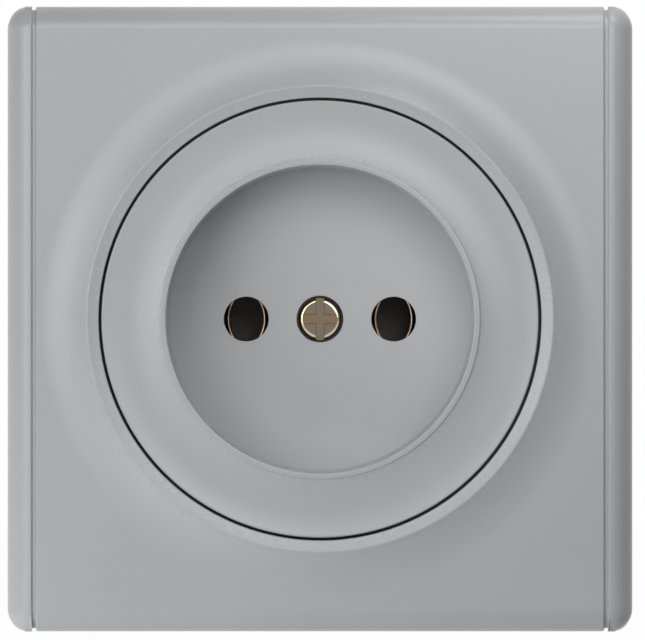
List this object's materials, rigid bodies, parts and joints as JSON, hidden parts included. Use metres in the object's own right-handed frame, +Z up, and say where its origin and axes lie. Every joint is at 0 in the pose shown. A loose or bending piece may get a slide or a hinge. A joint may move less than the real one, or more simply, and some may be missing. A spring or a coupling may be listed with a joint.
{
  "type": "wall socket",
  "caption": "Square flush wall socket: a dished round cover with a deep plug recess, pin holes and a centre screw, in a frame with side strips, on a clawed support bracket.",
  "frame": {"origin": "centre of the square frame, on the wall's surface", "axes": "+Y goes back through the wall into the wall box, so the front faces -Y; +X is to the right as seen from the front; +Z is up"},
  "size_m": [0.08, 0.0386, 0.08],
  "materials": {
    "grey_plastic": "satin",
    "dark_moulding": "satin",
    "zinc_steel": "zinc plated",
    "spring_steel": "plain",
    "contact_copper": "bright copper alloy",
    "brass": "plain",
    "nickelled_steel": "satin, warm plated"
  },
  "bodies": {
    "socket": {"frame_carrier": "grey_plastic", "frame_plate": "grey_plastic", "side_strip_left": "grey_plastic", "side_strip_right": "grey_plastic", "socket_cover": "grey_plastic", "cover_screw": "nickelled_steel", "screw_insert": "brass", "support_bracket": "zinc_steel", "contact_base": "dark_moulding", "rear_plate": "dark_moulding", "contact_left": "contact_copper", "contact_right": "contact_copper", "contact_spring_left": "spring_steel", "contact_spring_right": "spring_steel", "terminal_block_left": "brass", "terminal_block_right": "brass", "terminal_screw_left": "zinc_steel", "terminal_screw_right": "zinc_steel", "base_rivet_upper_left": "zinc_steel", "base_rivet_upper_right": "zinc_steel", "base_rivet_lower_left": "zinc_steel", "base_rivet_lower_right": "zinc_steel", "rear_screw_upper": "zinc_steel", "rear_screw_lower": "zinc_steel"},
    "claw_left": {"claw_left": "zinc_steel"},
    "claw_right": {"claw_right": "zinc_steel"},
    "claw_screw_left": {"claw_screw_left": "zinc_steel"},
    "claw_screw_right": {"claw_screw_right": "zinc_steel"}
  },
  "joints": [
    {"name": "claw_screw_left_turn", "type": "hinge", "parent": "socket", "child": "claw_screw_left", "pos_m": [-0.0267, -0.0013, 0], "axis": [0, 1, 0], "range_deg": [0, 1007]},
    {"name": "claw_screw_right_turn", "type": "hinge", "parent": "socket", "child": "claw_screw_right", "pos_m": [0.0267, -0.0013, 0], "axis": [0, 1, 0], "range_deg": [0, 1007]},
    {"name": "claw_left_swing", "type": "hinge", "parent": "socket", "child": "claw_left", "pos_m": [-0.024, 0.0052, 0], "axis": [0, 0, 1], "range_deg": [0, 25]},
    {"name": "claw_right_swing", "type": "hinge", "parent": "socket", "child": "claw_right", "pos_m": [0.024, 0.0052, 0], "axis": [0, 0, -1], "range_deg": [0, 25]}
  ],
  "couplings": [
    {"joint": "claw_screw_left_turn", "follows": "claw_left_swing", "ratio": 40.2},
    {"joint": "claw_screw_right_turn", "follows": "claw_right_swing", "ratio": 40.2}
  ]
}
